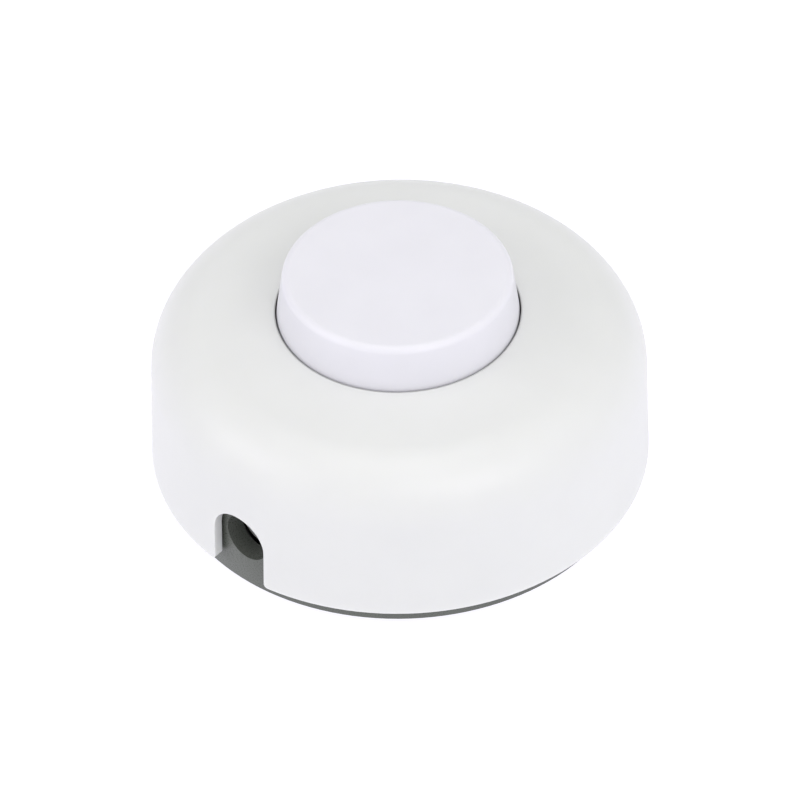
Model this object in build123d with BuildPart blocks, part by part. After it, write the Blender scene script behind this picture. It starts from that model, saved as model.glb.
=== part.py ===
"""Round in-line foot switch with a large push button.

The frame's origin is the centre of the foot, on the floor. Z points up and the
two cord entries face -X and +X. Everything is drawn in millimetres, with the
button up. A press turns the index wheel by one tooth, which makes or breaks
the contact between the two pairs of leaves.
"""

import os
from math import cos, hypot, radians, sin, sqrt, tan

from build123d import *

os.makedirs("parts", exist_ok=True)

# White cover
cover_r = 33.0  # outside radius at the lower edge
cover_low = 4.9  # height of the lower edge above the floor
cover_top = 27.9  # height of the crown at the button hole
cover_draft = 2.0  # lean of the side wall, in degrees
cover_wall = 1.4
shoulder_r = 8.4
crown_r = 210.0  # radius of the slightly domed top
collar_h = 1.2  # ring under the crown, which stops the button
collar_w = 2.0
edge_r = 0.3  # softened edges of the mouldings
arch_r = 4.15  # half the width of the cord opening in the cover
arch_rise = 0.6  # how far the arch's centre lies above the cord's axis
arch_corner_r = 0.6

# Grey base
foot_set = 4.6  # how far the foot stands in from the cover's lower edge
foot_w = 3.2  # width of the ring that stands on the floor
foot_recess = 0.6
skirt_low = 2.1  # height where the base's side ends and its undercut starts
floor_t = 2.2
rim_w = 1.8
rim_h = 4.1  # height of the rim inside the cover
cover_fit = 0.4  # gap between the rim and the cover
tower_h = 11.5  # height of a cord entry above the cover's lower edge
tower_w = 3.0
tower_half = 10.0  # half the angle that a cord entry takes of the rim, in degrees

# Cord entry
cord_z = 10.0  # height of the cord's axis
bore_r = 3.4
mouth_edge_r = 0.4

# Screws that hold the cover, driven from below
cover_screw_set = 9.0  # how far the screws stand in from the cover's lower edge
cover_screw_turn = 62.0  # angle of the first one from the cord line, in degrees
cover_screw_r = 1.5
cover_head_r = 2.8
cover_head_h = 1.8
cover_seat = 11.0  # height where a boss of the cover sits on a post of the base
cover_counterbore = 5.0
post_wall = 1.1
boss_r = 3.4
cover_screw_grip = 8.0  # length in the cover's boss
head_gap = 0.3  # gap round a sunk screw head
screw_gap = 0.05  # gap round a screw's shank
slot_w = 0.7  # screwdriver slot
slot_d = 0.6

# Foot button
button_r = 15.8
button_gap = 0.2  # gap in the cover's hole
button_rise = 6.35
button_draft = 7.8
button_edge_r = 1.05
button_wall = 2.0
travel = 4.5
flange_lap = 1.4  # how far the flange reaches under the collar
flange_t = 1.4
stop_gap = 0.3  # play between parts that stop each other

# Ratchet
tooth_count = 8
tooth_h = 4.2
tooth_land = 3.0  # flat at the foot of a tooth, in degrees
tooth_steps = 4  # facets of a ramp
tooth_side_gap = 1.0  # play between the upright faces, in degrees
tooth_gap = 0.15
ratchet_in_r = 2.8
ratchet_r = 6.6
disc_t = 1.6
stem_w = 7.0
stem_gap = 0.05
socket_wall = 1.2

# Index wheel
drum_r = 7.3
drum_h = 5.8
pin_r = 1.5
pin_gap = 0.05
hub_wall = 0.75
hub_h = 1.2
pin_nose = 0.8
wheel_play = 0.1
washer_r = 5.0
washer_t = 0.5

# Contact stars, set in the drum
star_t = 1.2
star_arm_w = 2.6
star_hole_r = 2.4
star_hub_r = 3.9
lower_star_rise = 0.8  # above the drum's underside
star_pitch = 3.0

# Contact leaves
leaf_t = 0.4
leaf_h = 2.0
leaf_gap = 0.15  # gap to the drum, which the strip's spring closes
leaf_straight = 3.2  # where the strip starts to bend, from the middle
leaf_nose = 2.4  # length of the free end past the middle
leaf_bend_r = 1.2

# Terminals
terminal_in = 8.3  # from the middle to the inner face
terminal_l = 6.0
terminal_w = 5.8
terminal_h = 8.0
terminal_y = 6.2  # from the middle to the near side
wire_r = 1.5
wire_rise = 3.8
wire_blind = 1.2  # metal left behind the wire hole
terminal_screw_r = 1.45
terminal_head_r = 2.3
terminal_head_h = 1.8
head_room = 0.8

# Contact housing and its lid
tray_floor = 1.8
tray_wall = 1.6
tray_corner_r = 2.0
terminal_fit = 0.2
window_r = 2.0
lid_t = 1.8
lid_screw_y = 10.9
lid_screw_r = 1.45
lid_head_r = 2.5
lid_screw_l = 10.0
sink_angle = 90.0  # of the countersunk heads, in degrees
lid_boss_r = 2.5
driver_gap = 0.3
turret_gap = 0.4
turret_wall = 1.4
rib_w = 1.2
rib_h = 2.5
tray_fit = 0.15

# Return spring
spring_wire = 1.0
spring_gap = 0.5  # gap round the turret
spring_turns = 4.5
spring_sides = 6  # facets round the wire
spring_seat_gap = 0.05
spring_rib_w = 1.0
spring_rib_h = 1.5

# Cord clamps
clamp_t = 0.8
clamp_w = 4.0
clamp_gap = 0.6  # from the cord entry
clamp_cord_r = 3.0  # inside radius of the cradle
clamp_rise = 1.45  # height of the posts above the cord's axis
clamp_bar_t = 1.2
clamp_screw_r = 1.3
clamp_head_r = 2.1
clamp_head_h = 1.4
clamp_screw_l = 8.0
clamp_post_r = 2.2
clamp_play = 0.4  # gap between the cradle and a post

# Heights that follow from the sizes above
floor_top = foot_recess + floor_t
tray_top = floor_top + tray_floor
drum_low = tray_top + washer_t + wheel_play
drum_top = drum_low + drum_h
lid_low = tray_top + terminal_h + terminal_head_h + head_room
lid_top = lid_low + lid_t
tips_low = drum_top + tooth_gap + travel
disc_low = tips_low + tooth_h
disc_top = disc_low + disc_t
turret_ceiling = disc_top + stop_gap
turret_top = turret_ceiling + turret_wall
button_top = cover_top + button_rise
button_ceiling = button_top - button_wall
collar_low = cover_top - cover_wall - collar_h
flange_top = collar_low - stop_gap
flange_low = flange_top - flange_t
arch_z = cord_z + arch_rise
clamp_seat = cord_z + clamp_rise
rim_top = cover_low + rim_h
tower_top = cover_low + tower_h

# Widths that follow
foot_r = cover_r - foot_set
cover_screw_ring = cover_r - cover_screw_set
hole_r = button_r + button_gap
flange_r = hole_r + flange_lap
post_r = cover_head_r + head_gap + post_wall
terminal_out = terminal_in + terminal_l
tray_x = terminal_out + terminal_fit
tray_y = terminal_y + terminal_w + terminal_fit
turret_r = ratchet_r + turret_gap
spring_r = turret_r + turret_wall + spring_gap + spring_wire / 2
hub_r = pin_r + pin_gap + hub_wall
tooth_pitch = 360 / tooth_count
tooth_ramp = tooth_pitch - tooth_land
apex = cover_top + crown_r - sqrt(crown_r**2 - hole_r**2)


def save(piece, name):
    """Label a finished piece and write it out."""
    piece.part.label = name
    export_step(piece.part, f"parts/{name}.step")


def is_ring(edge):
    """Tell a whole circle from a seam or an arc."""
    return edge.is_closed


def base_radius(height):
    """Outside radius of the base's upright parts, a fit inside the leaning cover."""
    inner = cover_r - cover_wall / cos(radians(cover_draft)) - cover_fit
    return inner - (height - cover_low) * tan(radians(cover_draft))


def radial_plane(angle):
    """Upright plane through the switch's axis, with its x outwards at this angle."""
    turn = radians(angle)
    return Plane(origin=(0, 0, 0), x_dir=(cos(turn), sin(turn), 0), z_dir=(sin(turn), -cos(turn), 0))


def cover_screw_places():
    """The four screws, two on each side of the cord line."""
    across = cover_screw_ring * cos(radians(cover_screw_turn))
    along = cover_screw_ring * sin(radians(cover_screw_turn))
    return GridLocations(2 * across, 2 * along, 2, 2)


# Cover: one moulded shell with a domed top, a large soft shoulder and two arched openings
def dome(inset):
    """The cover's outer shape, or a shape inside it with all its faces this far in."""
    low_r = cover_r - inset / cos(radians(cover_draft))
    high_r = low_r - (apex - cover_low) * tan(radians(cover_draft))
    with BuildPart() as shape:
        with BuildSketch(Plane.YZ) as section:
            with BuildLine():
                Polyline((0, cover_low), (low_r, cover_low), (high_r, apex), (0, apex), close=True)
            make_face()
            with Locations((0, apex - crown_r)):
                Circle(crown_r - inset, mode=Mode.INTERSECT)
            fillet(section.vertices().sort_by(Axis.Y)[-2], shoulder_r - inset)
        revolve(axis=Axis.Z)
    return shape.part


cover_form = dome(0)
cover_cavity = dome(cover_wall)

with BuildPart() as cover:
    add(cover_form)
    add(cover_cavity, mode=Mode.SUBTRACT)
    with BuildSketch(Plane.XY.offset(collar_low)):
        Circle(hole_r + collar_w)
    extrude(amount=cover_wall / 2 + collar_h)
    with BuildSketch(Plane.XY.offset(cover_seat)):
        with cover_screw_places():
            Circle(boss_r)
    extrude(amount=apex - cover_seat)
    add(cover_form, mode=Mode.INTERSECT)
    with BuildSketch(Plane.XY.offset(collar_low)):
        Circle(hole_r)
    extrude(amount=apex - collar_low, mode=Mode.SUBTRACT)
    fillet(cover.edges().filter_by(is_ring).sort_by(Axis.Z)[-1], edge_r)
    with BuildSketch(Plane.XY.offset(cover_seat)):
        with cover_screw_places():
            Circle(cover_screw_r + screw_gap)
    extrude(amount=cover_screw_grip + stop_gap, mode=Mode.SUBTRACT)
    with BuildSketch(Plane.YZ):
        with Locations((0, arch_z)):
            Circle(arch_r)
            Rectangle(2 * arch_r, arch_z, align=(Align.CENTER, Align.MAX))
    extrude(amount=cover_r, both=True, mode=Mode.SUBTRACT)
    fillet(cover.edges().filter_by(Axis.X).group_by(Axis.Z)[0], arch_corner_r)
save(cover, "cover")

# Base: foot, floor, rim, two cord entries, screw posts, clamp posts and the housing's fence
face_x = base_radius(cover_low)
skirt_r = face_x - (cover_low - skirt_low) * tan(radians(cover_draft))
tower_in = face_x - tower_w
clamp_x = tower_in - clamp_gap - clamp_w / 2
clamp_y = clamp_cord_r + clamp_t + clamp_play + clamp_post_r

with BuildPart() as base:
    with BuildSketch(Plane.YZ):
        with BuildLine():
            Polyline(
                (0, foot_recess),
                (foot_r - foot_w, foot_recess),
                (foot_r - foot_w, 0),
                (foot_r, 0),
                (skirt_r, skirt_low),
                (face_x, cover_low),
                (base_radius(rim_top), rim_top),
                (base_radius(rim_top) - rim_w, rim_top),
                (base_radius(rim_top) - rim_w, floor_top),
                (0, floor_top),
                close=True,
            )
        make_face()
    revolve(axis=Axis.Z)
    with BuildSketch(Plane.XY.offset(foot_recess)):
        with cover_screw_places():
            Circle(post_r)
    extrude(amount=cover_seat - foot_recess)
    for turn in (0, 180):
        with BuildSketch(radial_plane(turn - tower_half)):
            with BuildLine():
                Polyline(
                    (tower_in, floor_top),
                    (base_radius(rim_top) - rim_w / 2, floor_top),
                    (base_radius(rim_top) - rim_w / 2, rim_top),
                    (base_radius(rim_top), rim_top),
                    (base_radius(tower_top), tower_top),
                    (tower_in, tower_top),
                    close=True,
                )
            make_face()
        revolve(axis=Axis.Z, revolution_arc=2 * tower_half)
    with BuildSketch(Plane.YZ):
        with Locations((0, cord_z)):
            Circle(bore_r)
    extrude(amount=cover_r, both=True, mode=Mode.SUBTRACT)
    mouths = base.edges(Select.LAST).filter_by(is_ring).sort_by(Axis.X)
    fillet([mouths[0], mouths[-1]], mouth_edge_r)
    with BuildSketch(Plane.XY.offset(floor_top)):
        with GridLocations(2 * clamp_x, 2 * clamp_y, 2, 2):
            Circle(clamp_post_r)
    extrude(amount=clamp_seat - floor_top)
    with BuildSketch(Plane.XY.offset(floor_top)):
        fence_x = tray_x + tray_wall + tray_fit
        fence_y = tray_y + tray_wall + tray_fit
        Rectangle(2 * (fence_x + rib_w), 2 * (fence_y + rib_w))
        Rectangle(2 * fence_x, 2 * fence_y, mode=Mode.SUBTRACT)
    extrude(amount=rib_h)
    with BuildSketch(Plane.XY):
        with cover_screw_places():
            Circle(cover_screw_r + screw_gap)
    extrude(amount=cover_seat, mode=Mode.SUBTRACT)
    with BuildSketch(Plane.XY):
        with cover_screw_places():
            Circle(cover_head_r + head_gap)
    extrude(amount=foot_recess + cover_counterbore, mode=Mode.SUBTRACT)
    with BuildSketch(Plane.XY.offset(clamp_seat)):
        with GridLocations(2 * clamp_x, 2 * clamp_y, 2, 2):
            Circle(clamp_screw_r + screw_gap)
    extrude(amount=-clamp_screw_l, mode=Mode.SUBTRACT)
save(base, "base")

# Foot button: a cap with a leaning side, a straight skirt, a stop flange and a stem socket
button_top_r = button_r - button_rise * tan(radians(button_draft))
spring_rib_r = spring_r + spring_wire / 2 + stop_gap
socket_low = turret_top + travel + stop_gap

with BuildPart() as foot_button:
    with BuildSketch(Plane.XZ) as section:
        with BuildLine():
            Polyline(
                (0, button_top),
                (button_top_r, button_top),
                (button_r, cover_top),
                (button_r, flange_top),
                (flange_r, flange_top),
                (flange_r, flange_low),
                (button_r - button_wall, flange_low),
                (button_r - button_wall, button_ceiling),
                (0, button_ceiling),
                close=True,
            )
        make_face()
        fillet(section.vertices().group_by(Axis.Y)[-1].sort_by(Axis.X)[-1], button_edge_r)
    revolve(axis=Axis.Z)
    with BuildSketch(Plane.XY.offset(button_ceiling)):
        Circle(spring_rib_r + spring_rib_w)
        Circle(spring_rib_r, mode=Mode.SUBTRACT)
    extrude(amount=-spring_rib_h)
    with BuildSketch(Plane.XY.offset(socket_low)):
        Circle(hypot(stem_w, stem_w) / 2 + stem_gap + socket_wall)
    extrude(amount=button_ceiling - socket_low)
    with BuildSketch(Plane.XY.offset(socket_low)):
        Rectangle(stem_w + 2 * stem_gap, stem_w + 2 * stem_gap)
    extrude(amount=button_ceiling - socket_low, mode=Mode.SUBTRACT)
save(foot_button, "foot_button")


def tooth_ramp_solid(low, rise, last):
    """One tooth's ramp, a helical slope from its low end up to its upright face.

    low is the height of the slope's foot, rise is how far it climbs over the ramp and
    last is the angle of the upright face.
    """
    middle = (ratchet_in_r + ratchet_r) / 2
    width = 2 * (ratchet_r - ratchet_in_r)
    shares = [step / tooth_steps for step in range(tooth_steps + 1)]
    ends = [(tooth_land + share * tooth_ramp, share) for share in shares]
    if last > tooth_pitch:
        ends.append((last, shares[-1]))
    with BuildPart() as ramp:
        for angle, share in ends:
            with BuildSketch(radial_plane(angle)):
                with Locations((middle, low - tooth_gap)):
                    Rectangle(width, tooth_gap + share * rise, align=(Align.CENTER, Align.MIN))
        loft(ruled=True)
    return ramp.part


# Ratchet plunger: a square stem under the button and a ring of teeth that point down
with BuildPart() as ratchet_plunger:
    with BuildSketch(Plane.XY.offset(tips_low)):
        Circle(ratchet_r)
        Circle(ratchet_in_r, mode=Mode.SUBTRACT)
    extrude(amount=tooth_h)
    space = tooth_ramp_solid(tips_low, tooth_h, tooth_pitch + tooth_side_gap)
    with PolarLocations(0, tooth_count):
        add(space, mode=Mode.SUBTRACT)
    with BuildSketch(Plane.XY.offset(disc_low)):
        Circle(ratchet_r)
    extrude(amount=disc_t)
    with BuildSketch(Plane.XY.offset(disc_top)):
        Rectangle(stem_w, stem_w)
    extrude(amount=button_ceiling - disc_top)
save(ratchet_plunger, "ratchet_plunger")

# Contact stars: two stamped crosses, one for each pole, moulded into the drum
with BuildSketch() as star_outline:
    Circle(star_hub_r)
    with PolarLocations(0, tooth_count // 2):
        Rectangle(2 * drum_r, star_arm_w, align=(Align.MIN, Align.CENTER))
    Circle(drum_r, mode=Mode.INTERSECT)
    Circle(star_hole_r, mode=Mode.SUBTRACT)

star_lows = {
    "lower_contact_star": drum_low + lower_star_rise,
    "upper_contact_star": drum_low + lower_star_rise + star_pitch,
}
for name, star_low in star_lows.items():
    with BuildPart() as star:
        add(star_outline.sketch.moved(Location((0, 0, star_low))))
        extrude(amount=star_t)
    save(star, name)

# Index wheel: a drum on the pin, with the upward teeth and a hub, moulded round the stars
with BuildPart() as index_wheel:
    ramp = tooth_ramp_solid(drum_top, tooth_h, tooth_pitch)
    with PolarLocations(0, tooth_count):
        add(ramp)
    with BuildSketch(Plane.XY.offset(drum_top)):
        Circle(ratchet_r)
        Circle(ratchet_in_r, mode=Mode.SUBTRACT)
    extrude(amount=tooth_h, mode=Mode.INTERSECT)
    with BuildSketch(Plane.XY.offset(drum_low)):
        Circle(drum_r)
    extrude(amount=drum_h)
    with BuildSketch(Plane.XY.offset(drum_top)):
        Circle(hub_r)
    extrude(amount=hub_h)
    with BuildSketch(Plane.XY.offset(drum_low)):
        Circle(pin_r + pin_gap)
    extrude(amount=drum_h + hub_h, mode=Mode.SUBTRACT)
    for star_low in star_lows.values():
        add(star_outline.sketch.moved(Location((0, 0, star_low))))
        extrude(amount=star_t, mode=Mode.SUBTRACT)
save(index_wheel, "index_wheel")

# Wheel pin and the washer under the wheel
pin_top = drum_top + hub_h + pin_nose
with BuildPart() as wheel_pin:
    with BuildSketch(Plane.XY.offset(floor_top)):
        Circle(pin_r)
    extrude(amount=pin_top - floor_top)
    chamfer(wheel_pin.edges().filter_by(is_ring).sort_by(Axis.Z)[-1], edge_r)
save(wheel_pin, "wheel_pin")

with BuildPart() as thrust_washer:
    with BuildSketch(Plane.XY.offset(tray_top)):
        Circle(washer_r)
        Circle(pin_r + pin_gap, mode=Mode.SUBTRACT)
    extrude(amount=washer_t)
save(thrust_washer, "thrust_washer")

# Contact leaves and terminals, one of each for every wire
# Each row holds a name, the side along the cord line, the side across it and the star's height
wires = (
    ("live_in", 1, 1, star_lows["upper_contact_star"]),
    ("neutral_in", 1, -1, star_lows["lower_contact_star"]),
    ("live_out", -1, -1, star_lows["upper_contact_star"]),
    ("neutral_out", -1, 1, star_lows["lower_contact_star"]),
)
leaf_root = terminal_in - leaf_t / 2
leaf_touch = drum_r + leaf_gap + leaf_t / 2
for name, side, across, star_low in wires:
    with BuildPart() as leaf:
        with BuildSketch(Plane.XY.offset(star_low + star_t / 2 - leaf_h / 2)):
            with BuildLine():
                FilletPolyline(
                    (side * leaf_root, across * (terminal_y + terminal_w)),
                    (side * leaf_root, across * leaf_straight),
                    (side * leaf_touch, 0),
                    (side * leaf_root, -across * leaf_nose),
                    radius=leaf_bend_r,
                )
            trace(line_width=leaf_t)
        extrude(amount=leaf_h)
    save(leaf, f"{name}_contact_leaf")

    with BuildPart() as terminal:
        with BuildSketch(Plane.XY.offset(tray_top)):
            with Locations((side * (terminal_in + terminal_l / 2), across * (terminal_y + terminal_w / 2))):
                Rectangle(terminal_l, terminal_w)
        extrude(amount=terminal_h)
        with BuildSketch(Plane.YZ.offset(side * (terminal_in + wire_blind))):
            with Locations((across * (terminal_y + terminal_w / 2), tray_top + wire_rise)):
                Circle(wire_r)
        extrude(amount=side * terminal_l, mode=Mode.SUBTRACT)
        with BuildSketch(Plane.XY.offset(tray_top + wire_rise)):
            with Locations((side * (terminal_in + terminal_l / 2), across * (terminal_y + terminal_w / 2))):
                Circle(terminal_screw_r + screw_gap)
        extrude(amount=terminal_h, mode=Mode.SUBTRACT)
    save(terminal, f"{name}_terminal")


def terminal_places():
    """The middle of each of the four terminals."""
    return GridLocations(2 * terminal_in + terminal_l, 2 * terminal_y + terminal_w, 2, 2)


def screws(places, seat, head_r, head_h, shank_r, shank_l, upward=False):
    """Slotted cheese-head screws at these places, with their heads on the seat."""
    way = -1 if upward else 1
    with BuildPart() as group:
        with BuildSketch(Plane.XY.offset(seat)):
            with places:
                Circle(head_r)
        extrude(amount=way * head_h)
        with BuildSketch(Plane.XY.offset(seat)):
            with places:
                Circle(shank_r)
        extrude(amount=-way * shank_l)
        with BuildSketch(Plane.XY.offset(seat + way * head_h)):
            with places:
                Rectangle(2 * head_r, slot_w)
        extrude(amount=-way * slot_d, mode=Mode.SUBTRACT)
    return group


save(
    screws(
        terminal_places(),
        tray_top + terminal_h,
        terminal_head_r,
        terminal_head_h,
        terminal_screw_r,
        terminal_h - wire_rise,
    ),
    "terminal_screws",
)
save(
    screws(
        cover_screw_places(),
        foot_recess + cover_counterbore,
        cover_head_r,
        cover_head_h,
        cover_screw_r,
        cover_seat + cover_screw_grip - foot_recess - cover_counterbore,
        upward=True,
    ),
    "cover_screws",
)

# Contact housing: an open tray with a bearing for the wheel and posts for the lid's screws
with BuildPart() as contact_housing:
    with BuildSketch(Plane.XY.offset(floor_top)):
        RectangleRounded(2 * (tray_x + tray_wall), 2 * (tray_y + tray_wall), tray_corner_r)
    extrude(amount=lid_low - floor_top)
    with BuildSketch(Plane.XY.offset(tray_top)):
        Rectangle(2 * tray_x, 2 * tray_y)
        with GridLocations(0, 2 * lid_screw_y, 1, 2):
            Circle(lid_boss_r, mode=Mode.SUBTRACT)
    extrude(amount=lid_low - tray_top, mode=Mode.SUBTRACT)
    with BuildSketch(Plane.XY.offset(floor_top)):
        Circle(pin_r)
    extrude(amount=tray_floor, mode=Mode.SUBTRACT)
    with BuildSketch(Plane.XY.offset(lid_low)):
        with GridLocations(0, 2 * lid_screw_y, 1, 2):
            Circle(lid_screw_r + screw_gap)
    extrude(amount=-lid_screw_l, mode=Mode.SUBTRACT)
    with BuildSketch(Plane.YZ):
        with Locations((0, tray_top + wire_rise)):
            with GridLocations(2 * terminal_y + terminal_w, 0, 2, 1):
                Circle(window_r)
    extrude(amount=tray_x + 2 * tray_wall, both=True, mode=Mode.SUBTRACT)
save(contact_housing, "contact_housing")

# Housing lid: a plate with a turret that guides the plunger's square stem
with BuildPart() as housing_lid:
    with BuildSketch(Plane.XY.offset(lid_low)):
        RectangleRounded(2 * (tray_x + tray_wall), 2 * (tray_y + tray_wall), tray_corner_r)
    extrude(amount=lid_t)
    with BuildSketch(Plane.XY.offset(lid_low)):
        Circle(turret_r + turret_wall)
    extrude(amount=turret_top - lid_low)
    with BuildSketch(Plane.XY.offset(lid_low)):
        Circle(turret_r)
    extrude(amount=turret_ceiling - lid_low, mode=Mode.SUBTRACT)
    with BuildSketch(Plane.XY.offset(turret_ceiling)):
        Rectangle(stem_w + 2 * stem_gap, stem_w + 2 * stem_gap)
    extrude(amount=turret_wall, mode=Mode.SUBTRACT)
    with BuildSketch(Plane.XY.offset(lid_low)):
        with terminal_places():
            Circle(terminal_head_r + driver_gap)
    extrude(amount=lid_t, mode=Mode.SUBTRACT)
    with Locations(Plane.XY.offset(lid_top)):
        with GridLocations(0, 2 * lid_screw_y, 1, 2):
            CounterSinkHole(lid_screw_r + screw_gap, lid_head_r, lid_t, sink_angle)
save(housing_lid, "housing_lid")

# Lid screws: two countersunk screws, flush with the lid
with BuildPart() as lid_screws:
    with BuildSketch(Plane.XY.offset(lid_top)):
        with GridLocations(0, 2 * lid_screw_y, 1, 2):
            Circle(lid_head_r - screw_gap)
    extrude(amount=-(lid_head_r - lid_screw_r), taper=sink_angle / 2)
    with BuildSketch(Plane.XY.offset(lid_top)):
        with GridLocations(0, 2 * lid_screw_y, 1, 2):
            Circle(lid_screw_r)
    extrude(amount=-lid_screw_l)
    with BuildSketch(Plane.XY.offset(lid_top)):
        with GridLocations(0, 2 * lid_screw_y, 1, 2):
            Rectangle(2 * lid_head_r, slot_w)
    extrude(amount=-slot_d, mode=Mode.SUBTRACT)
save(lid_screws, "lid_screws")

# Return spring: a coil round the turret, between the lid and the button
coil_h = button_ceiling - lid_top - spring_wire - 2 * spring_seat_gap
with BuildPart() as return_spring:
    with BuildLine(Plane.XY.offset(lid_top + spring_wire / 2 + spring_seat_gap)) as coil:
        Helix(pitch=coil_h / spring_turns, height=coil_h, radius=spring_r)
    with BuildSketch(Plane(coil.line @ 0, z_dir=coil.line % 0)):
        RegularPolygon(spring_wire / 2, spring_sides)
    sweep(is_frenet=True)
save(return_spring, "return_spring")

# Cord clamps: at each entry a formed strap that cradles the cord and a flat bar above it
strap_out = clamp_y + clamp_post_r
for name, side in (("in", 1), ("out", -1)):
    with BuildPart() as strap:
        with BuildSketch(Plane.YZ.offset(side * clamp_x - clamp_w / 2)):
            with BuildLine():
                Polyline(
                    (-strap_out, clamp_seat + clamp_t / 2),
                    (-clamp_cord_r - clamp_t / 2, clamp_seat + clamp_t / 2),
                    (-clamp_cord_r - clamp_t / 2, cord_z),
                )
                ThreePointArc(
                    (-clamp_cord_r - clamp_t / 2, cord_z),
                    (0, cord_z - clamp_cord_r - clamp_t / 2),
                    (clamp_cord_r + clamp_t / 2, cord_z),
                )
                Polyline(
                    (clamp_cord_r + clamp_t / 2, cord_z),
                    (clamp_cord_r + clamp_t / 2, clamp_seat + clamp_t / 2),
                    (strap_out, clamp_seat + clamp_t / 2),
                )
            trace(line_width=clamp_t)
        extrude(amount=clamp_w)
        with BuildSketch(Plane.XY.offset(clamp_seat)):
            with GridLocations(0, 2 * clamp_y, 1, 2):
                with Locations((side * clamp_x, 0)):
                    Circle(clamp_screw_r + screw_gap)
        extrude(amount=clamp_t, mode=Mode.SUBTRACT)
    save(strap, f"cord_{name}_clamp_strap")

    with BuildPart() as bar:
        with BuildSketch(Plane.XY.offset(clamp_seat + clamp_t)):
            with Locations((side * clamp_x, 0)):
                Rectangle(clamp_w, 2 * strap_out)
                with GridLocations(0, 2 * clamp_y, 1, 2):
                    Circle(clamp_screw_r + screw_gap, mode=Mode.SUBTRACT)
        extrude(amount=clamp_bar_t)
    save(bar, f"cord_{name}_clamp_bar")

save(
    screws(
        GridLocations(2 * clamp_x, 2 * clamp_y, 2, 2),
        clamp_seat + clamp_t + clamp_bar_t,
        clamp_head_r,
        clamp_head_h,
        clamp_screw_r,
        clamp_screw_l,
    ),
    "clamp_screws",
)
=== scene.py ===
"""Finish, light and view of a round in-line foot switch, piece by piece as it is put together."""

import math

import bmesh
import bpy
from mathutils import Matrix, Vector


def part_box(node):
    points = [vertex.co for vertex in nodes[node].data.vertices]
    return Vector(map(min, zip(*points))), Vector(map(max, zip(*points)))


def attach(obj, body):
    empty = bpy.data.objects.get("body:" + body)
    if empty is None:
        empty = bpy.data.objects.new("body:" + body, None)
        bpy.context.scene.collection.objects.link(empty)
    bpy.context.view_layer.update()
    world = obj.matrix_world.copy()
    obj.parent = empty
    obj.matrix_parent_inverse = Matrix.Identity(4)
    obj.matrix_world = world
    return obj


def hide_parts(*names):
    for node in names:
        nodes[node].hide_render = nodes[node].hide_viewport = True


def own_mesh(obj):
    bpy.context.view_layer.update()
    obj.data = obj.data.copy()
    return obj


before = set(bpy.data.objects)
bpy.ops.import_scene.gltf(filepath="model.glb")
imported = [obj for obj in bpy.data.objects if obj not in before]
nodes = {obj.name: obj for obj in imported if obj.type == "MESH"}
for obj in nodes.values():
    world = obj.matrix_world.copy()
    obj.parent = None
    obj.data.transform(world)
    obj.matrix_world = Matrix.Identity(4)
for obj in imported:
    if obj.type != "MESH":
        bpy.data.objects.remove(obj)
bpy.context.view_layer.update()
mm = 0.001

# Base: the grey foot that carries every other part. It is moulded in one piece, with a fine
# eroded skin, and its two towers take the cord through a round mouth with a soft rim.
base_grey = (0.103, 0.112, 0.098)
base_edge = 0.16 * mm
base_grain = 0.012 * mm


def moulded(name, colour, spread, roughness, grain, depth, glow=0.0):
    """Injection-moulded plastic: faint flow clouds in its colour, a fine eroded grain and,
    where glow is given, light that passes a little way through it."""
    material = bpy.data.materials.new(name)
    material.use_nodes = True
    tree = material.node_tree
    shader = tree.nodes["Principled BSDF"]
    shader.inputs["IOR"].default_value = 1.49
    shader.inputs["Subsurface Weight"].default_value = glow
    shader.inputs["Subsurface Radius"].default_value = (1.0, 1.0, 0.9)
    shader.inputs["Subsurface Scale"].default_value = 1.1 * mm
    place = tree.nodes.new("ShaderNodeTexCoord")

    clouds = tree.nodes.new("ShaderNodeTexNoise")
    clouds.inputs["Scale"].default_value = 140.0
    clouds.inputs["Detail"].default_value = 4.0
    tree.links.new(place.outputs["Object"], clouds.inputs["Vector"])
    tint = tree.nodes.new("ShaderNodeMapRange")
    tint.inputs["From Min"].default_value = 0.3
    tint.inputs["From Max"].default_value = 0.7
    tree.links.new(clouds.outputs["Fac"], tint.inputs["Value"])
    paint = tree.nodes.new("ShaderNodeMix")
    paint.data_type = "RGBA"
    low, high = paint.inputs[6], paint.inputs[7]
    low.default_value = [part * (1 - spread) for part in colour] + [1]
    high.default_value = [part * (1 + spread) for part in colour] + [1]
    tree.links.new(tint.outputs["Result"], paint.inputs[0])
    tree.links.new(paint.outputs[2], shader.inputs["Base Color"])

    skin = tree.nodes.new("ShaderNodeTexNoise")
    skin.inputs["Scale"].default_value = grain
    skin.inputs["Detail"].default_value = 3.0
    tree.links.new(place.outputs["Object"], skin.inputs["Vector"])
    sheen = tree.nodes.new("ShaderNodeMapRange")
    sheen.inputs["From Min"].default_value = 0.3
    sheen.inputs["From Max"].default_value = 0.7
    sheen.inputs["To Min"].default_value = roughness - 0.05
    sheen.inputs["To Max"].default_value = roughness + 0.05
    tree.links.new(skin.outputs["Fac"], sheen.inputs["Value"])
    tree.links.new(sheen.outputs["Result"], shader.inputs["Roughness"])
    bump = tree.nodes.new("ShaderNodeBump")
    bump.inputs["Strength"].default_value = 0.5
    bump.inputs["Distance"].default_value = depth
    tree.links.new(skin.outputs["Fac"], bump.inputs["Height"])
    tree.links.new(bump.outputs["Normal"], shader.inputs["Normal"])
    return material


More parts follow.
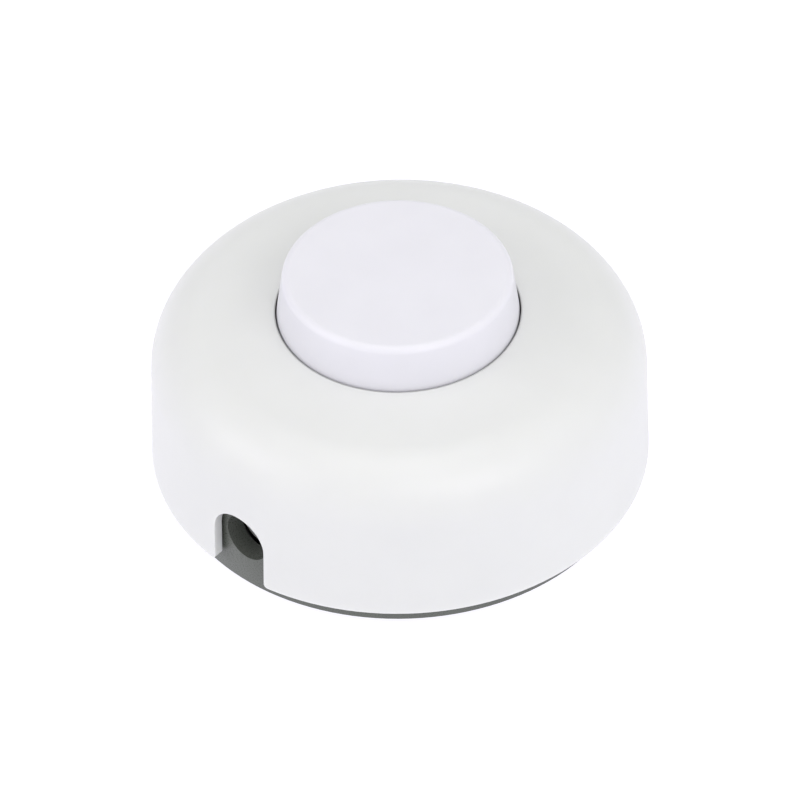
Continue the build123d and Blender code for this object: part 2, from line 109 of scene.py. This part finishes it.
def dressed(node, name, body, material, edge, turn=32.0):
    """Stand a merged, softly shaded copy with rounded edges in the place of a node."""
    mesh = nodes[node].data.copy()
    work = bmesh.new()
    work.from_mesh(mesh)
    flat = math.radians(0.2)
    bmesh.ops.remove_doubles(work, verts=work.verts, dist=0.0005 * mm)
    bmesh.ops.dissolve_limit(work, angle_limit=flat, verts=work.verts, edges=work.edges)
    for face in work.faces:
        face.smooth = True
    work.to_mesh(mesh)
    work.free()
    mesh.materials.clear()
    mesh.materials.append(material)
    mesh.set_sharp_from_angle(angle=math.radians(turn))
    piece = bpy.data.objects.new(name, mesh)
    bpy.context.scene.collection.objects.link(piece)
    soften = piece.modifiers.new("soft_edges", "BEVEL")
    soften.width = edge
    soften.segments = 3
    soften.limit_method = "ANGLE"
    soften.angle_limit = math.radians(turn)
    soften.use_clamp_overlap = True
    level = piece.modifiers.new("true_faces", "WEIGHTED_NORMAL")
    level.weight = 80
    level.keep_sharp = True
    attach(piece, body)
    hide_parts(node)
    return piece


base_finish = moulded(
    "grey_moulding", base_grey, spread=0.05, roughness=0.29, grain=5200.0, depth=base_grain
)
dressed("base", "grey_base", "housing", base_finish, edge=base_edge)

# Cord clamps: a strap of dull zinc-plated strip that cradles the cord at each entry, with a
# flat bar above it. The strap's corner shows as a light spot in the mouth of the tower.
steel_colour = (0.66, 0.66, 0.64)
zinc_colour = (0.86, 0.86, 0.85)
zinc_metallic = 0.3
drawn_grain = 900.0
drawn_depth = 0.006 * mm


def metal(name, colour, roughness, stain, grain, depth):
    """Bare or plated metal: drawn streaks, a little stain and uneven gloss."""
    material = bpy.data.materials.new(name)
    material.use_nodes = True
    tree = material.node_tree
    shader = tree.nodes["Principled BSDF"]
    shader.inputs["Metallic"].default_value = 1.0
    place = tree.nodes.new("ShaderNodeTexCoord")
    streaks = tree.nodes.new("ShaderNodeMapping")
    streaks.inputs["Scale"].default_value = (1.0, 0.18, 1.0)
    tree.links.new(place.outputs["Object"], streaks.inputs["Vector"])

    worn = tree.nodes.new("ShaderNodeTexNoise")
    worn.inputs["Scale"].default_value = 420.0
    worn.inputs["Detail"].default_value = 5.0
    tree.links.new(place.outputs["Object"], worn.inputs["Vector"])
    paint = tree.nodes.new("ShaderNodeMix")
    paint.data_type = "RGBA"
    paint.inputs[6].default_value = [part * (1 - stain) for part in colour] + [1]
    paint.inputs[7].default_value = [*colour, 1]
    tree.links.new(worn.outputs["Fac"], paint.inputs[0])
    tree.links.new(paint.outputs[2], shader.inputs["Base Color"])

    drawn = tree.nodes.new("ShaderNodeTexNoise")
    drawn.inputs["Scale"].default_value = grain
    drawn.inputs["Detail"].default_value = 3.0
    tree.links.new(streaks.outputs["Vector"], drawn.inputs["Vector"])
    gloss = tree.nodes.new("ShaderNodeMapRange")
    gloss.inputs["From Min"].default_value = 0.3
    gloss.inputs["From Max"].default_value = 0.7
    gloss.inputs["To Min"].default_value = roughness - 0.07
    gloss.inputs["To Max"].default_value = roughness + 0.09
    tree.links.new(drawn.outputs["Fac"], gloss.inputs["Value"])
    tree.links.new(gloss.outputs["Result"], shader.inputs["Roughness"])
    bump = tree.nodes.new("ShaderNodeBump")
    bump.inputs["Strength"].default_value = 0.4
    bump.inputs["Distance"].default_value = depth
    tree.links.new(drawn.outputs["Fac"], bump.inputs["Height"])
    tree.links.new(bump.outputs["Normal"], shader.inputs["Normal"])
    return material


plated = metal(
    "plated_steel", steel_colour, roughness=0.30, stain=0.18, grain=drawn_grain, depth=drawn_depth
)
dull_zinc = metal(
    "dull_zinc", zinc_colour, roughness=0.45, stain=0.12, grain=drawn_grain, depth=drawn_depth
)
zinc_shader = dull_zinc.node_tree.nodes["Principled BSDF"]
zinc_shader.inputs["Metallic"].default_value = zinc_metallic
strip_edge = 0.12 * mm
for end in ("in", "out"):
    strap = f"cord_{end}_clamp_strap"
    bar = f"cord_{end}_clamp_bar"
    dressed(strap, f"{strap}_plated", "housing", dull_zinc, edge=strip_edge)
    dressed(bar, f"{bar}_plated", "housing", dull_zinc, edge=strip_edge)

# Screws: slotted, turned from plated steel, with a rolled thread below the head. Each group is
# set out on its own grid: the clamps', the terminals', the cover's and the lid's.
thread_pitch = 0.5 * mm
screw_sides = 40


def calc(tree, operation, first, second=None):
    """One sum in a node group, on two sockets or numbers."""
    step = tree.nodes.new("ShaderNodeMath")
    step.operation = operation
    for place, value in zip(step.inputs, (first, second)):
        if isinstance(value, (int, float)):
            place.default_value = value
        elif value is not None:
            tree.links.new(value, place)
    return step.outputs[0]


def screw_tree():
    """Node group of slotted screws on a grid of places, with named sizes."""
    tree = bpy.data.node_groups.new("slotted_screws", "GeometryNodeTree")
    tree.interface.new_socket("Screws", in_out="OUTPUT", socket_type="NodeSocketGeometry")
    sizes = (
        "Seat",
        "Apart X",
        "Apart Y",
        "Head Radius",
        "Head Foot Radius",
        "Head Height",
        "Core Radius",
        "Length",
        "Pitch",
        "Slot Width",
        "Slot Depth",
        "Way",
    )
    for size in sizes:
        tree.interface.new_socket(size, in_out="INPUT", socket_type="NodeSocketFloat")
    tree.interface.new_socket("Rows X", in_out="INPUT", socket_type="NodeSocketInt")
    tree.interface.new_socket("Finish", in_out="INPUT", socket_type="NodeSocketMaterial")
    given = tree.nodes.new("NodeGroupInput")
    made = tree.nodes.new("NodeGroupOutput")

    def point(x=0.0, y=0.0, z=0.0):
        """A place or a size made of three sockets or numbers."""
        join = tree.nodes.new("ShaderNodeCombineXYZ")
        for place, value in zip(join.inputs, (x, y, z)):
            if isinstance(value, (int, float)):
                place.default_value = value
            else:
                tree.links.new(value, place)
        return join.outputs[0]

    def moved(shape, offset):
        """The shape moved by an offset."""
        move = tree.nodes.new("GeometryNodeTransform")
        tree.links.new(shape, move.inputs["Geometry"])
        tree.links.new(offset, move.inputs["Translation"])
        return move.outputs["Geometry"]

    head = tree.nodes.new("GeometryNodeMeshCone")
    head.inputs["Vertices"].default_value = screw_sides
    tree.links.new(given.outputs["Head Radius"], head.inputs["Radius Top"])
    tree.links.new(given.outputs["Head Foot Radius"], head.inputs["Radius Bottom"])
    tree.links.new(given.outputs["Head Height"], head.inputs["Depth"])
    slot = tree.nodes.new("GeometryNodeMeshCube")
    slot_l = calc(tree, "MULTIPLY", given.outputs["Head Radius"], 3.0)
    slot_h = calc(tree, "MULTIPLY", given.outputs["Slot Depth"], 2.0)
    tree.links.new(point(slot_l, given.outputs["Slot Width"], slot_h), slot.inputs["Size"])
    cut = tree.nodes.new("GeometryNodeMeshBoolean")
    cut.operation = "DIFFERENCE"
    cut.solver = "EXACT"
    tree.links.new(head.outputs["Mesh"], cut.inputs["Mesh 1"])
    slot_top = point(z=given.outputs["Head Height"])
    tree.links.new(moved(slot.outputs["Mesh"], slot_top), cut.inputs["Mesh 2"])
    bend = tree.nodes.new("GeometryNodeInputMeshEdgeAngle")
    sharp = calc(tree, "GREATER_THAN", bend.outputs["Unsigned Angle"], math.radians(30.0))
    mark = tree.nodes.new("GeometryNodeStoreNamedAttribute")
    mark.domain = "EDGE"
    mark.data_type = "FLOAT"
    mark.inputs["Name"].default_value = "bevel_weight_edge"
    tree.links.new(cut.outputs["Mesh"], mark.inputs["Geometry"])
    tree.links.new(sharp, mark.inputs["Value"])

    core = tree.nodes.new("GeometryNodeMeshCone")
    core.inputs["Vertices"].default_value = screw_sides
    tip_r = calc(tree, "MULTIPLY", given.outputs["Core Radius"], 0.8)
    tree.links.new(given.outputs["Core Radius"], core.inputs["Radius Top"])
    tree.links.new(tip_r, core.inputs["Radius Bottom"])
    tree.links.new(given.outputs["Length"], core.inputs["Depth"])
    core_low = calc(tree, "MULTIPLY", given.outputs["Length"], -1.0)

    ridge = tree.nodes.new("GeometryNodeCurveSpiral")
    pitches = calc(tree, "DIVIDE", given.outputs["Length"], given.outputs["Pitch"])
    turns = calc(tree, "SUBTRACT", pitches, 2.0)
    ridge.inputs["Resolution"].default_value = screw_sides
    tree.links.new(turns, ridge.inputs["Rotations"])
    tree.links.new(given.outputs["Core Radius"], ridge.inputs["Start Radius"])
    tree.links.new(given.outputs["Core Radius"], ridge.inputs["End Radius"])
    ridge_h = calc(tree, "MULTIPLY", turns, given.outputs["Pitch"])
    tree.links.new(ridge_h, ridge.inputs["Height"])
    crest = tree.nodes.new("GeometryNodeCurvePrimitiveCircle")
    crest.inputs["Resolution"].default_value = 6
    tree.links.new(calc(tree, "MULTIPLY", given.outputs["Pitch"], 0.3), crest.inputs["Radius"])
    thread = tree.nodes.new("GeometryNodeCurveToMesh")
    tree.links.new(ridge.outputs["Curve"], thread.inputs["Curve"])
    tree.links.new(crest.outputs["Curve"], thread.inputs["Profile Curve"])
    thread.inputs["Fill Caps"].default_value = True

    screw = tree.nodes.new("GeometryNodeJoinGeometry")
    thread_low = calc(tree, "ADD", core_low, given.outputs["Pitch"])
    tree.links.new(mark.outputs["Geometry"], screw.inputs["Geometry"])
    tree.links.new(moved(core.outputs["Mesh"], point(z=core_low)), screw.inputs["Geometry"])
    tree.links.new(moved(thread.outputs["Mesh"], point(z=thread_low)), screw.inputs["Geometry"])

    grid = tree.nodes.new("GeometryNodeMeshGrid")
    grid.inputs["Vertices Y"].default_value = 2
    tree.links.new(given.outputs["Rows X"], grid.inputs["Vertices X"])
    tree.links.new(given.outputs["Apart X"], grid.inputs["Size X"])
    tree.links.new(given.outputs["Apart Y"], grid.inputs["Size Y"])
    places = moved(grid.outputs["Mesh"], point(z=given.outputs["Seat"]))
    turned = tree.nodes.new("GeometryNodeInputIndex")
    spin = calc(tree, "MULTIPLY", turned.outputs["Index"], 0.9)
    flip = calc(tree, "MULTIPLY", calc(tree, "LESS_THAN", given.outputs["Way"], 0.0), math.pi)
    put = tree.nodes.new("GeometryNodeInstanceOnPoints")
    tree.links.new(places, put.inputs["Points"])
    tree.links.new(screw.outputs["Geometry"], put.inputs["Instance"])
    tree.links.new(point(flip, 0.0, spin), put.inputs["Rotation"])
    real = tree.nodes.new("GeometryNodeRealizeInstances")
    tree.links.new(put.outputs["Instances"], real.inputs["Geometry"])
    coat = tree.nodes.new("GeometryNodeSetMaterial")
    tree.links.new(real.outputs["Geometry"], coat.inputs["Geometry"])
    tree.links.new(given.outputs["Finish"], coat.inputs["Material"])
    tree.links.new(coat.outputs["Geometry"], made.inputs["Screws"])
    return tree


def settled(name, tree, values, edge):
    """Turn a node group with these inputs into a plain mesh object at the origin."""
    piece = bpy.data.objects.new(name, bpy.data.meshes.new(name))
    bpy.context.scene.collection.objects.link(piece)
    shape = piece.modifiers.new("shape", "NODES")
    shape.node_group = tree
    for item in tree.interface.items_tree:
        if item.item_type == "SOCKET" and item.in_out == "INPUT":
            shape[item.identifier] = values[item.name]
    if edge:
        soften = piece.modifiers.new("soft_edges", "BEVEL")
        soften.limit_method = "WEIGHT"
        soften.width = edge
        soften.segments = 2
    seen = piece.evaluated_get(bpy.context.evaluated_depsgraph_get())
    mesh = bpy.data.meshes.new_from_object(seen)
    piece.modifiers.clear()
    piece.data = mesh
    for face in mesh.polygons:
        face.use_smooth = True
    mesh.set_sharp_from_angle(angle=math.radians(40.0))
    return piece


slotted = screw_tree()
slot_w = 0.7 * mm
slot_d = 0.6 * mm
head_edge = 0.12 * mm


def screws(node, name, seat, apart_x, apart_y, rows, head_r, foot_r, head_h, shank_r, length, way):
    """Set a group of screws in the place of its node."""
    values = {
        "Seat": seat,
        "Apart X": apart_x,
        "Apart Y": apart_y,
        "Rows X": rows,
        "Head Radius": head_r,
        "Head Foot Radius": foot_r,
        "Head Height": head_h,
        "Core Radius": shank_r - 0.3 * thread_pitch,
        "Length": length,
        "Pitch": thread_pitch,
        "Slot Width": slot_w,
        "Slot Depth": slot_d,
        "Way": way,
        "Finish": plated,
    }
    piece = settled(name, slotted, values, head_edge)
    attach(piece, "housing")
    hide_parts(node)
    return piece


def between(node, radius, axis):
    """How far apart the outermost screws of a node stand along an axis."""
    low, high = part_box(node)
    return high[axis] - low[axis] - 2 * radius


clamp_head_r = 2.1 * mm
clamp_head_h = 1.4 * mm
clamp_shank_r = 1.3 * mm
low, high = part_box("clamp_screws")
screws(
    "clamp_screws",
    "plated_clamp_screws",
    seat=high.z - clamp_head_h,
    apart_x=between("clamp_screws", clamp_head_r, 0),
    apart_y=between("clamp_screws", clamp_head_r, 1),
    rows=2,
    head_r=clamp_head_r,
    foot_r=clamp_head_r,
    head_h=clamp_head_h,
    shank_r=clamp_shank_r,
    length=high.z - low.z - clamp_head_h,
    way=1.0,
)

# Contact housing: the black insulating tray on the base's floor. It is moulded from a hard,
# slightly glossy plastic and keeps the live parts away from the outside.
tray_black = (0.022, 0.022, 0.024)
tray_finish = moulded(
    "black_insulator", tray_black, spread=0.12, roughness=0.36, grain=4200.0, depth=0.008 * mm
)
dressed("contact_housing", "contact_tray", "housing", tray_finish, edge=0.2 * mm)

# Terminals and leaves: four brass blocks take the wires, and four bronze strips reach from
# them to the drum, one pair for each pole.
brass = metal(
    "terminal_brass",
    (0.80, 0.60, 0.28),
    roughness=0.28,
    stain=0.25,
    grain=1100.0,
    depth=0.008 * mm,
)
bronze = metal(
    "spring_bronze", (0.79, 0.50, 0.31), roughness=0.24, stain=0.22, grain=1500.0, depth=0.005 * mm
)
for wire in ("live_in", "neutral_in", "live_out", "neutral_out"):
    block, leaf = f"{wire}_terminal", f"{wire}_contact_leaf"
    dressed(block, f"{block}_block", "housing", brass, edge=0.2 * mm)
    dressed(leaf, f"{leaf}_strip", "housing", bronze, edge=0.06 * mm)

terminal_head_r = 2.3 * mm
terminal_head_h = 1.8 * mm
terminal_shank_r = 1.45 * mm
low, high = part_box("terminal_screws")
screws(
    "terminal_screws",
    "plated_terminal_screws",
    seat=high.z - terminal_head_h,
    apart_x=between("terminal_screws", terminal_head_r, 0),
    apart_y=between("terminal_screws", terminal_head_r, 1),
    rows=2,
    head_r=terminal_head_r,
    foot_r=terminal_head_r,
    head_h=terminal_head_h,
    shank_r=terminal_shank_r,
    length=high.z - low.z - terminal_head_h,
    way=1.0,
)

# Index wheel: a drum on a steel pin, moulded round two stamped brass stars. Its saw teeth
# take the plunger's, and a washer of the same steel carries it.
wheel_finish = moulded(
    "natural_wheel",
    (0.74, 0.70, 0.60),
    spread=0.04,
    roughness=0.38,
    grain=3600.0,
    depth=0.006 * mm,
)
star_brass = metal(
    "star_brass", (0.82, 0.63, 0.31), roughness=0.22, stain=0.2, grain=1300.0, depth=0.005 * mm
)
dressed("wheel_pin", "steel_pin", "housing", plated, edge=0.1 * mm)
dressed("thrust_washer", "steel_washer", "housing", plated, edge=0.1 * mm)
dressed("lower_contact_star", "lower_brass_star", "wheel", star_brass, edge=0.06 * mm)
dressed("upper_contact_star", "upper_brass_star", "wheel", star_brass, edge=0.06 * mm)
dressed("index_wheel", "toothed_wheel", "wheel", wheel_finish, edge=0.08 * mm)

# Housing lid: the same black plastic as the tray, with the turret that keeps the plunger from
# turning. Two countersunk screws hold it.
dressed("housing_lid", "turret_lid", "housing", tray_finish, edge=0.15 * mm)
lid_head_r = 2.45 * mm
lid_shank_r = 1.45 * mm
lid_head_h = lid_head_r - lid_shank_r
low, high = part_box("lid_screws")
screws(
    "lid_screws",
    "plated_lid_screws",
    seat=high.z - lid_head_h,
    apart_x=0.0,
    apart_y=between("lid_screws", lid_head_r, 1),
    rows=1,
    head_r=lid_head_r,
    foot_r=lid_shank_r,
    head_h=lid_head_h,
    shank_r=lid_shank_r,
    length=high.z - low.z - lid_head_h,
    way=1.0,
)

# Return spring: a coil of spring steel wire round the turret, with its end turns closed. It
# stands on the lid and lifts the button.
wire_r = 0.5 * mm
spring_finish = metal(
    "spring_wire", (0.52, 0.52, 0.53), roughness=0.26, stain=0.15, grain=2400.0, depth=0.004 * mm
)


def spring_tree():
    """Node group of a coil with closed end turns, with named sizes."""
    tree = bpy.data.node_groups.new("closed_coil", "GeometryNodeTree")
    tree.interface.new_socket("Coil", in_out="OUTPUT", socket_type="NodeSocketGeometry")
    for size in ("Radius", "Wire Radius", "Foot", "Height", "Turns"):
        tree.interface.new_socket(size, in_out="INPUT", socket_type="NodeSocketFloat")
    tree.interface.new_socket("Finish", in_out="INPUT", socket_type="NodeSocketMaterial")
    given = tree.nodes.new("NodeGroupInput")
    made = tree.nodes.new("NodeGroupOutput")

    line = tree.nodes.new("GeometryNodeCurvePrimitiveLine")
    fine = tree.nodes.new("GeometryNodeResampleCurve")
    fine.inputs["Count"].default_value = 420
    tree.links.new(line.outputs["Curve"], fine.inputs["Curve"])
    along = tree.nodes.new("GeometryNodeSplineParameter")
    turn = calc(tree, "MULTIPLY", along.outputs["Factor"], given.outputs["Turns"])
    angle = calc(tree, "MULTIPLY", turn, 2 * math.pi)
    wire_d = calc(tree, "MULTIPLY", given.outputs["Wire Radius"], 2.0)
    first = calc(tree, "MINIMUM", turn, 1.0)
    before_last = calc(tree, "SUBTRACT", given.outputs["Turns"], 1.0)
    last = calc(tree, "MAXIMUM", calc(tree, "SUBTRACT", turn, before_last), 0.0)
    free_turns = calc(tree, "SUBTRACT", given.outputs["Turns"], 2.0)
    passed = calc(tree, "SUBTRACT", calc(tree, "SUBTRACT", turn, first), last)
    closed_h = calc(tree, "MULTIPLY", wire_d, 3.0)
    free_h = calc(tree, "SUBTRACT", given.outputs["Height"], closed_h)
    climb = calc(tree, "MULTIPLY", calc(tree, "DIVIDE", passed, free_turns), free_h)
    ends = calc(tree, "MULTIPLY", calc(tree, "ADD", first, last), wire_d)
    foot = calc(tree, "ADD", given.outputs["Foot"], given.outputs["Wire Radius"])
    height = calc(tree, "ADD", calc(tree, "ADD", climb, ends), foot)
    place = tree.nodes.new("ShaderNodeCombineXYZ")
    for way, axis in (("COSINE", "X"), ("SINE", "Y")):
        swing = calc(tree, "MULTIPLY", calc(tree, way, angle), given.outputs["Radius"])
        tree.links.new(swing, place.inputs[axis])
    tree.links.new(height, place.inputs["Z"])
    wind = tree.nodes.new("GeometryNodeSetPosition")
    tree.links.new(fine.outputs["Curve"], wind.inputs["Geometry"])
    tree.links.new(place.outputs["Vector"], wind.inputs["Position"])
    section = tree.nodes.new("GeometryNodeCurvePrimitiveCircle")
    section.inputs["Resolution"].default_value = 16
    tree.links.new(given.outputs["Wire Radius"], section.inputs["Radius"])
    wire = tree.nodes.new("GeometryNodeCurveToMesh")
    wire.inputs["Fill Caps"].default_value = True
    tree.links.new(wind.outputs["Geometry"], wire.inputs["Curve"])
    tree.links.new(section.outputs["Curve"], wire.inputs["Profile Curve"])
    real = tree.nodes.new("GeometryNodeRealizeInstances")
    tree.links.new(wire.outputs["Mesh"], real.inputs["Geometry"])
    coat = tree.nodes.new("GeometryNodeSetMaterial")
    tree.links.new(real.outputs["Geometry"], coat.inputs["Geometry"])
    tree.links.new(given.outputs["Finish"], coat.inputs["Material"])
    tree.links.new(coat.outputs["Geometry"], made.inputs["Coil"])
    return tree


low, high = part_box("return_spring")
spring = settled(
    "closed_return_spring",
    spring_tree(),
    {
        "Radius": (high.x - low.x) / 2 - wire_r,
        "Wire Radius": wire_r,
        "Foot": low.z,
        "Height": high.z - low.z,
        "Turns": 6.5,
        "Finish": spring_finish,
    },
    0.0,
)
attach(spring, "housing")
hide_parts("return_spring")
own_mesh(spring)

# Ratchet plunger: natural nylon, pressed into the button's socket by its square stem, with
# the saw teeth that turn the wheel by one tooth at each press.
nylon = (0.70, 0.69, 0.64)
tooth_edge = 0.08 * mm
plunger_finish = moulded(
    "natural_nylon", nylon, spread=0.04, roughness=0.36, grain=3600.0, depth=0.006 * mm
)
dressed(
    "ratchet_plunger",
    "toothed_plunger",
    "button",
    plunger_finish,
    edge=tooth_edge,
)

# Foot button: a cool white cap with a flat, finely grained top, a soft edge and a side that
# leans in. Its flange stays under the cover's collar.
button_white = (0.737, 0.737, 0.779)
button_grain = 0.014 * mm
button_glow = 0.2
button_finish = moulded(
    "cool_white_moulding",
    button_white,
    spread=0.012,
    roughness=0.40,
    grain=4600.0,
    depth=button_grain,
    glow=button_glow,
)
dressed("foot_button", "white_button", "button", button_finish, edge=0.2 * mm)

# Cover: one white moulded shell, warmer and a little greener than the button, with a smooth
# satin skin. A thin ring of painted shade darkens its colour at the joint round the button, where
# the gap lies in shade, and four screws from below pull the shell onto the base.
cover_white = (0.715, 0.725, 0.715)
cover_glow = 0.5
joint_r = 16.0 * mm
joint_shade_reach = 0.22 * mm
joint_shade_level = 0.4
cover_finish = moulded(
    "white_moulding",
    cover_white,
    spread=0.008,
    roughness=0.38,
    grain=3800.0,
    depth=0.006 * mm,
    glow=cover_glow,
)
cover_tree = cover_finish.node_tree
# Painted shade: the base colour is darkened in a thin ring just outside the joint round the
# button, standing for the shade in the gap.
spot = cover_tree.nodes.new("ShaderNodeSeparateXYZ")
cover_tree.links.new(cover_tree.nodes["Texture Coordinate"].outputs["Object"], spot.inputs[0])
across_x = calc(cover_tree, "POWER", spot.outputs["X"], 2.0)
across_y = calc(cover_tree, "POWER", spot.outputs["Y"], 2.0)
joint_shade = cover_tree.nodes.new("ShaderNodeMapRange")
joint_shade.inputs["From Min"].default_value = joint_r
joint_shade.inputs["From Max"].default_value = joint_r + joint_shade_reach
joint_shade.inputs["To Min"].default_value = joint_shade_level
from_axis = calc(cover_tree, "SQRT", calc(cover_tree, "ADD", across_x, across_y))
cover_tree.links.new(from_axis, joint_shade.inputs["Value"])
joint_shaded_colour = cover_tree.nodes.new("ShaderNodeVectorMath")
joint_shaded_colour.operation = "SCALE"
shell = cover_tree.nodes["Principled BSDF"].inputs["Base Color"]
cover_tree.links.new(shell.links[0].from_socket, joint_shaded_colour.inputs[0])
cover_tree.links.new(joint_shade.outputs["Result"], joint_shaded_colour.inputs["Scale"])
cover_tree.links.new(joint_shaded_colour.outputs[0], shell)
dressed("cover", "white_cover", "housing", cover_finish, edge=0.18 * mm)

cover_head_r = 2.8 * mm
cover_head_h = 1.8 * mm
cover_shank_r = 1.5 * mm
low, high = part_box("cover_screws")
screws(
    "cover_screws",
    "plated_cover_screws",
    seat=low.z + cover_head_h,
    apart_x=between("cover_screws", cover_head_r, 0),
    apart_y=between("cover_screws", cover_head_r, 1),
    rows=2,
    head_r=cover_head_r,
    foot_r=cover_head_r,
    head_h=cover_head_h,
    shank_r=cover_shank_r,
    length=high.z - low.z - cover_head_h,
    way=-1.0,
)

# Floor: a plain pale sheet just below the foot ring, lit from below as on a light table, so
# that it stays white and throws light on the sides. Its underside is clear, so that a view
# from below shows the foot.
floor_half = 2.0
floor_z = -0.02 * mm
floor_mesh = bpy.data.meshes.new("pale_floor")
corners = [
    (x * floor_half, y * floor_half, floor_z) for x, y in ((-1, -1), (1, -1), (1, 1), (-1, 1))
]
floor_mesh.from_pydata(corners, [], [(0, 1, 2, 3)])
floor = bpy.data.objects.new("pale_floor", floor_mesh)
bpy.context.scene.collection.objects.link(floor)
floor_finish = bpy.data.materials.new("pale_floor")
floor_finish.use_nodes = True
floor_shader = floor_finish.node_tree.nodes["Principled BSDF"]
floor_shader.inputs["Base Color"].default_value = (0.2, 0.2, 0.2, 1)
floor_shader.inputs["Roughness"].default_value = 0.9
floor_shader.inputs["Specular IOR Level"].default_value = 0.1
floor_shader.inputs["Emission Color"].default_value = (0.93, 0.92, 1.0, 1)
floor_shader.inputs["Emission Strength"].default_value = 0.99
floor_tree = floor_finish.node_tree
side = floor_tree.nodes.new("ShaderNodeNewGeometry")
clear = floor_tree.nodes.new("ShaderNodeBsdfTransparent")
sheet = floor_tree.nodes.new("ShaderNodeMixShader")
floor_tree.links.new(side.outputs["Backfacing"], sheet.inputs[0])
floor_tree.links.new(floor_shader.outputs[0], sheet.inputs[1])
floor_tree.links.new(clear.outputs[0], sheet.inputs[2])
floor_tree.links.new(sheet.outputs[0], floor_tree.nodes["Material Output"].inputs["Surface"])
floor_mesh.materials.append(floor_finish)

# Light: an even white surround with soft panels above, at both sides, at the front right and
# low at the left, and a weak one beside the camera, as in a light tent.
studio = bpy.data.worlds.new("studio")
bpy.context.scene.world = studio
studio.use_nodes = True
surround = studio.node_tree.nodes["Background"]
surround.inputs["Color"].default_value = (1.0, 1.0, 1.0, 1)
surround.inputs["Strength"].default_value = 0.67
bpy.context.scene.view_settings.view_transform = "Standard"
camera_turn = math.radians(-49.8)


def panel(name, turn, rise, distance, size, colour, power):
    """A square soft light that looks at the switch, placed by angles from the camera."""
    light = bpy.data.lights.new(name, "AREA")
    light.shape = "SQUARE"
    light.size = size
    light.color = colour
    light.energy = power
    lamp = bpy.data.objects.new(name, light)
    bpy.context.scene.collection.objects.link(lamp)
    around = camera_turn + math.radians(turn)
    up = math.radians(rise)
    way = Vector((math.sin(around) * math.cos(up), -math.cos(around) * math.cos(up), math.sin(up)))
    lamp.location = way * distance
    lamp.rotation_mode = "QUATERNION"
    lamp.rotation_quaternion = way.to_track_quat("Z", "Y")
    return lamp


white = (1.0, 1.0, 1.0)
tinted = (1.0, 0.955, 1.0)
more_tinted = (1.0, 0.945, 1.0)
# Name, turn and rise in degrees, distance, size, colour and power.
panels = (
    ("top_panel", 0, 85, 0.7, 0.5, white, 1.05),
    ("left_panel", -90, 35, 0.8, 0.5, white, 0.25),
    ("right_panel", 90, 35, 0.8, 0.5, white, 0.42),
    ("front_right_panel", 36, 35, 0.8, 0.5, tinted, 1.6),
    ("low_left_panel", -74, 28, 0.8, 0.45, more_tinted, 1.2),
    ("front_panel", 0, 42, 0.8, 0.35, white, 0.25),
)
for setting in panels:
    panel(*setting)

# Camera: the photograph's view, from about 42 degrees above the floor, with the incoming
# cord's entry at the lower left and a roll of one degree.
camera_rise = math.radians(42.45)
camera_roll = math.radians(-0.997)
camera_distance = 0.7007
aim_right = 0.000049
aim_height = 0.0119
lens = bpy.data.cameras.new("photo_view")
lens.sensor_width = 36.0
lens.lens = 238.8
lens.clip_start = 0.05
lens.clip_end = 20.0
camera = bpy.data.objects.new("photo_view", lens)
bpy.context.scene.collection.objects.link(camera)
bpy.context.scene.camera = camera
back = Vector(
    (
        math.sin(camera_turn) * math.cos(camera_rise),
        -math.cos(camera_turn) * math.cos(camera_rise),
        math.sin(camera_rise),
    )
)
right = Vector((math.cos(camera_turn), math.sin(camera_turn), 0.0))
up = back.cross(right)
rolled_right = math.cos(camera_roll) * right + math.sin(camera_roll) * up
rolled_up = -math.sin(camera_roll) * right + math.cos(camera_roll) * up
axes = Matrix((rolled_right, rolled_up, back)).transposed()
camera.rotation_mode = "QUATERNION"
camera.rotation_quaternion = axes.to_quaternion()
camera.location = right * aim_right + Vector((0.0, 0.0, aim_height)) + back * camera_distance
